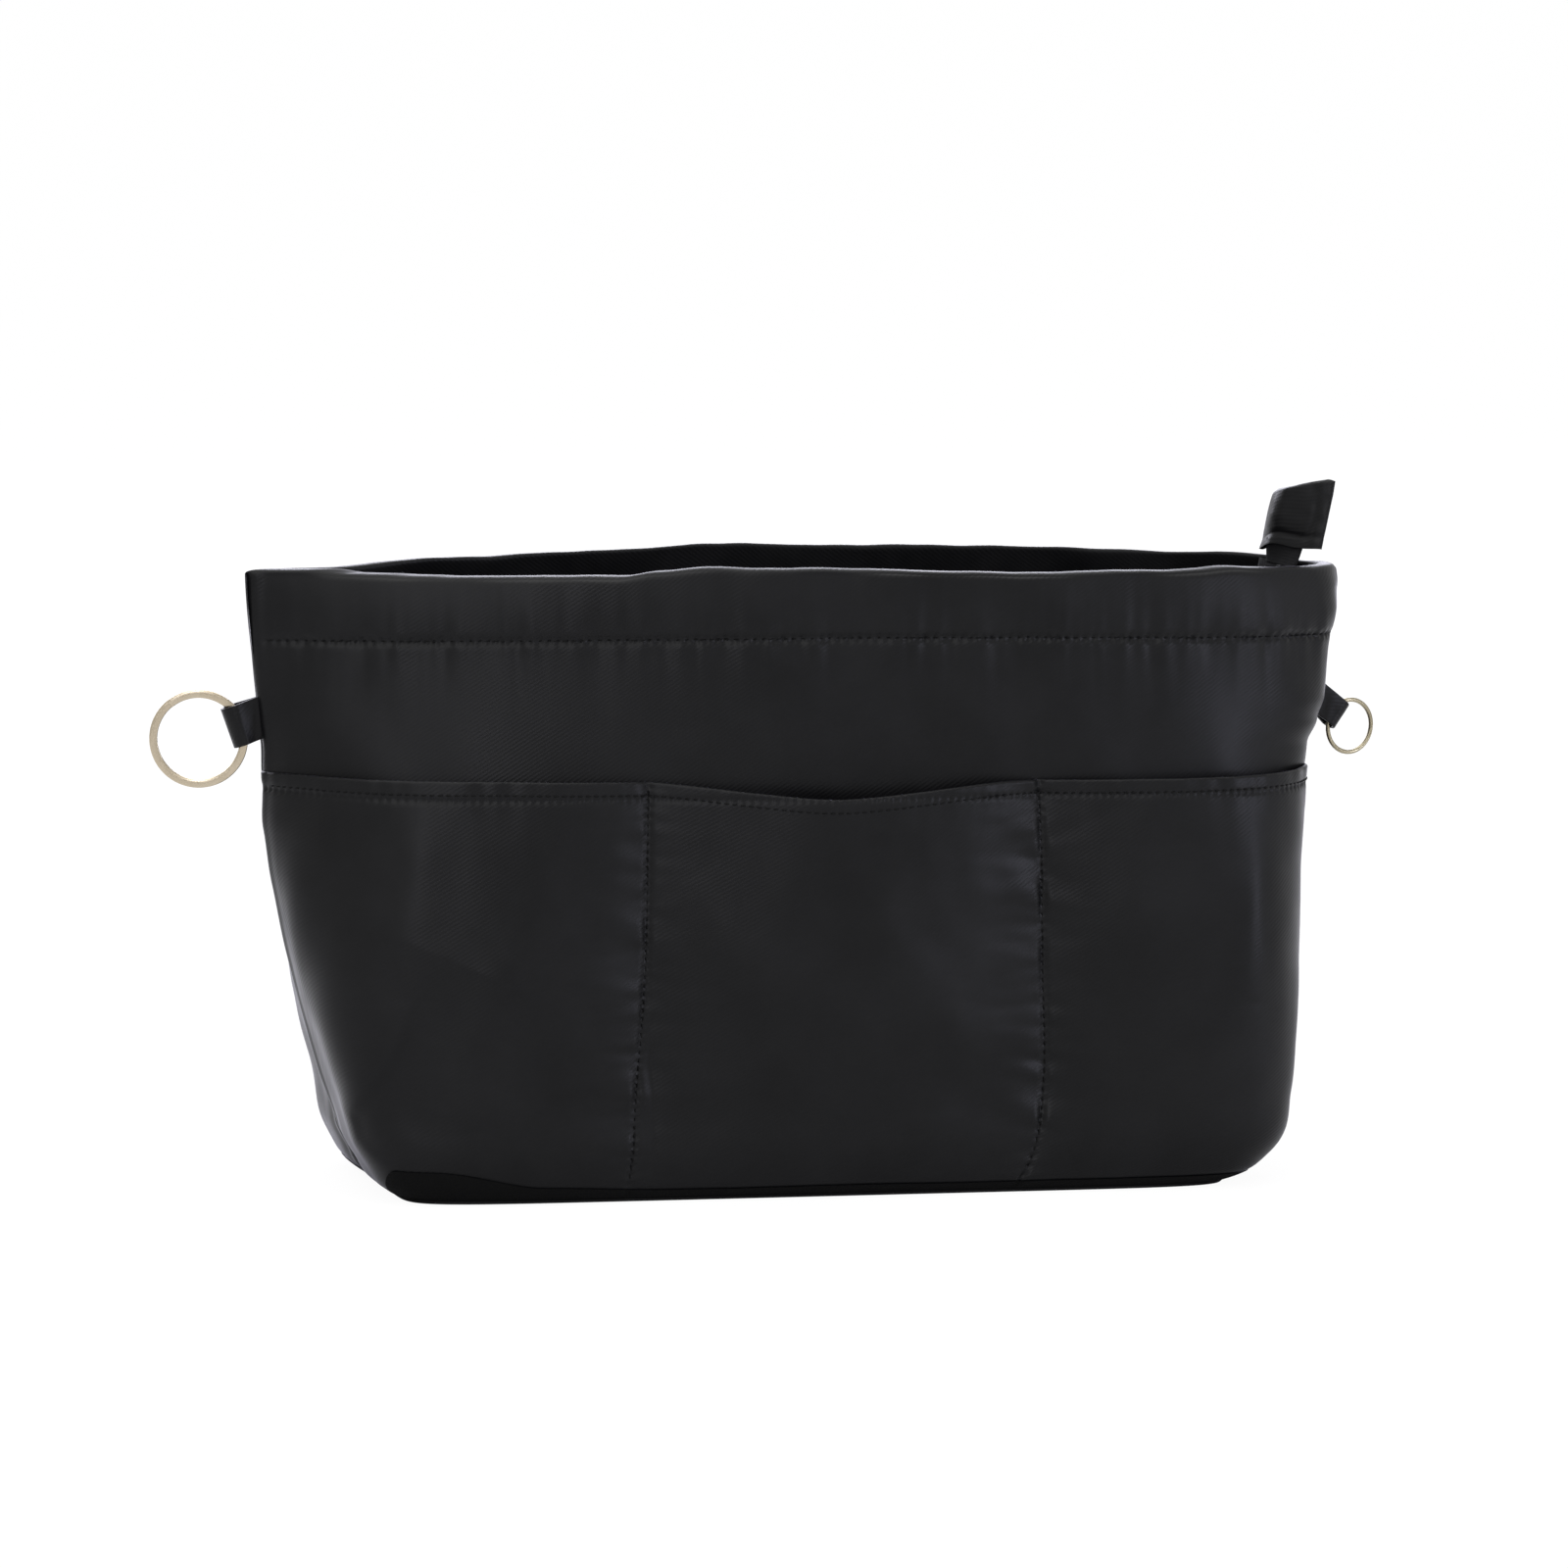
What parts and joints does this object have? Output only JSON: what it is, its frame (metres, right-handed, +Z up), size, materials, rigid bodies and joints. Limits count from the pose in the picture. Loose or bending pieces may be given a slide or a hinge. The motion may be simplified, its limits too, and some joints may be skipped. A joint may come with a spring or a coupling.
{
  "type": "purse organizer insert",
  "caption": "Sewn purse organizer insert with a boxed base, a stiffened rim, patch pockets, an open recessed zip and a ring on a cloth tab at each end.",
  "frame": {"origin": "centre of the base on the surface that it stands on", "axes": "+Z up, +X along the rim to the end with the zip's tail and the small ring, +Y to the back"},
  "size_m": [0.3265, 0.0943, 0.1779],
  "materials": {
    "shell_nylon": "black satin nylon twill",
    "lining_cloth": "dark plain-weave lining",
    "stiffener": "black plastic stiffener",
    "board": "dark base board",
    "zip_tape": "black woven zip tape",
    "zip_coil": "black nylon coil",
    "slider_metal": "dark painted die-cast metal",
    "ring_metal": "warm nickel plate"
  },
  "bodies": {
    "organizer": {"front_panel": "shell_nylon", "back_panel": "shell_nylon", "front_lining": "lining_cloth", "back_lining": "lining_cloth", "front_boning": "stiffener", "back_boning": "stiffener", "front_facing": "shell_nylon", "back_facing": "shell_nylon", "base_panel": "shell_nylon", "base_board": "board", "base_lining": "lining_cloth", "front_pocket": "shell_nylon", "back_pocket": "shell_nylon", "front_slip_pocket": "lining_cloth", "back_slip_pocket": "lining_cloth", "front_tail_tape": "zip_tape", "back_tail_tape": "zip_tape", "front_tail_chain": "zip_coil", "back_tail_chain": "zip_coil"},
    "front_wing": {"front_zip_wing": "shell_nylon", "front_zip_tape": "zip_tape", "front_zip_chain": "zip_coil"},
    "back_wing": {"back_zip_wing": "shell_nylon", "back_zip_tape": "zip_tape", "back_zip_chain": "zip_coil"},
    "cap": {"tail_cap": "shell_nylon"},
    "slider": {"zip_slider": "slider_metal", "slider_bridge": "slider_metal"},
    "pull": {"zip_pull": "slider_metal"},
    "left_loop": {"left_tab": "shell_nylon"},
    "large_ring": {"key_ring": "ring_metal"},
    "right_loop": {"right_tab": "shell_nylon"},
    "little_ring": {"small_ring": "ring_metal"}
  },
  "joints": [
    {"name": "front_wing_fold", "type": "hinge", "parent": "organizer", "child": "front_wing", "pos_m": [-0.06786, -0.02392, 0.14147], "axis": [0.9999, 0.0101, -0.0045], "range_deg": [0, 55], "stiffness_Nm_per_rad": 0.01},
    {"name": "back_wing_fold", "type": "hinge", "parent": "organizer", "child": "back_wing", "pos_m": [-0.06786, 0.02392, 0.14147], "axis": [-0.9999, 0.0101, 0.0045], "range_deg": [0, 55], "stiffness_Nm_per_rad": 0.01},
    {"name": "tail_cap_flop", "type": "hinge", "parent": "organizer", "child": "cap", "pos_m": [0.131, 0, 0.1585], "axis": [-0.4511, 0.8873, 0.096], "range_deg": [-75, 40], "stiffness_Nm_per_rad": 0.002},
    {"name": "zip_slide", "type": "slide", "parent": "organizer", "child": "slider", "axis": [0.2079, 0, 0.9781], "range_m": [-0.006, 0.009]},
    {"name": "pull_flip", "type": "hinge", "parent": "slider", "child": "pull", "pos_m": [0.12469, -0.00148, 0.14246], "axis": [-0.4511, 0.8873, 0.096], "range_deg": [0, 165]},
    {"name": "left_tab_flex", "type": "hinge", "parent": "organizer", "child": "left_loop", "pos_m": [-0.14309, 0, 0.1195], "axis": [-0.1521, 0, 0.9884], "range_deg": [-20, 35], "stiffness_Nm_per_rad": 0.003},
    {"name": "key_ring_swing", "type": "hinge", "parent": "left_loop", "child": "large_ring", "pos_m": [-0.14603, 0.00063, 0.11841], "axis": [-0.3349, 0.071, 0.9396], "range_deg": [-90, 95]},
    {"name": "right_tab_flex", "type": "hinge", "parent": "organizer", "child": "right_loop", "pos_m": [0.14091, 0, 0.1224], "axis": [0.147, 0, 0.9891], "range_deg": [-25, 18], "stiffness_Nm_per_rad": 0.003},
    {"name": "small_ring_swing", "type": "hinge", "parent": "right_loop", "child": "little_ring", "pos_m": [0.14604, 0.00157, 0.11821], "axis": [0.5889, 0.18, 0.7879], "range_deg": [-85, 60]}
  ]
}
